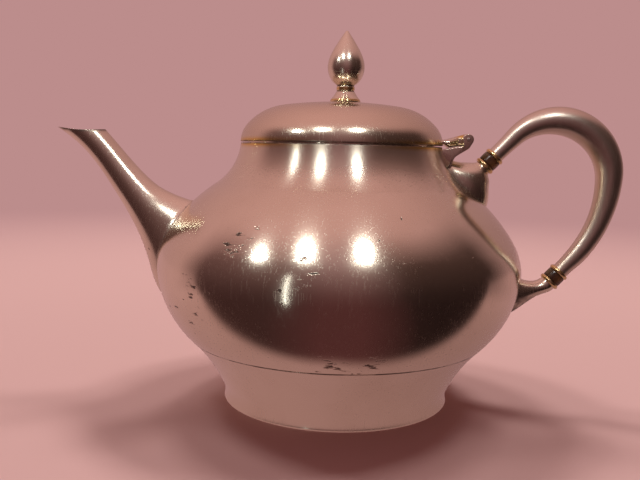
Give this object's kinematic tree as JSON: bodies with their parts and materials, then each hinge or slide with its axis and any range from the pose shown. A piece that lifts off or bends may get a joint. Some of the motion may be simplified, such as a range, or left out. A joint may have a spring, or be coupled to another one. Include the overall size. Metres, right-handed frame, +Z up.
{
  "type": "silver-plated teapot",
  "caption": "Squat pear-shaped metal teapot with a tapered spout, a hinged flat-crowned lid with a bud finial, and a loop handle with heat breaks.",
  "frame": {"origin": "on the pot's axis, in the plane that the foot stands on", "axes": "+Z up, -X towards the spout, +X towards the handle, the hinge pin along Y"},
  "size_m": [0.2554, 0.1628, 0.1653],
  "materials": {
    "silver_plate": "worn polished silver plate",
    "silver_wire": "half-round silver wire, darker in its corners",
    "nickel_silver_pin": "filed flush, dull",
    "horn_insulator": "dark amber horn, polished",
    "finial_fastener": "dull, tarnished"
  },
  "bodies": {
    "pot": {"body_shell": "silver_plate", "foot_skirt": "silver_plate", "base_plate": "silver_plate", "mouth_bearer": "silver_plate", "spout": "silver_plate", "strainer_plate": "silver_plate", "upper_handle_socket": "silver_plate", "lower_handle_socket": "silver_plate", "handle_grip": "silver_plate", "hinge_bracket": "silver_plate", "upper_socket_collar": "silver_wire", "lower_socket_collar": "silver_wire", "upper_grip_collar": "silver_wire", "lower_grip_collar": "silver_wire", "upper_break_pins": "nickel_silver_pin", "lower_break_pins": "nickel_silver_pin", "hinge_pin": "nickel_silver_pin", "upper_heat_break": "horn_insulator", "lower_heat_break": "horn_insulator"},
    "lid": {"hinge_strap": "silver_plate", "lid_dome": "silver_plate", "lid_flange": "silver_plate", "finial_bud": "silver_plate", "finial_spool": "silver_plate", "finial_stud": "finial_fastener", "finial_washer": "finial_fastener", "finial_nut": "finial_fastener"}
  },
  "joints": [
    {"name": "lid_hinge", "type": "hinge", "parent": "pot", "child": "lid", "pos_m": [0.0558, 0, 0.1186], "axis": [0, 1, 0], "range_deg": [0, 105]}
  ]
}
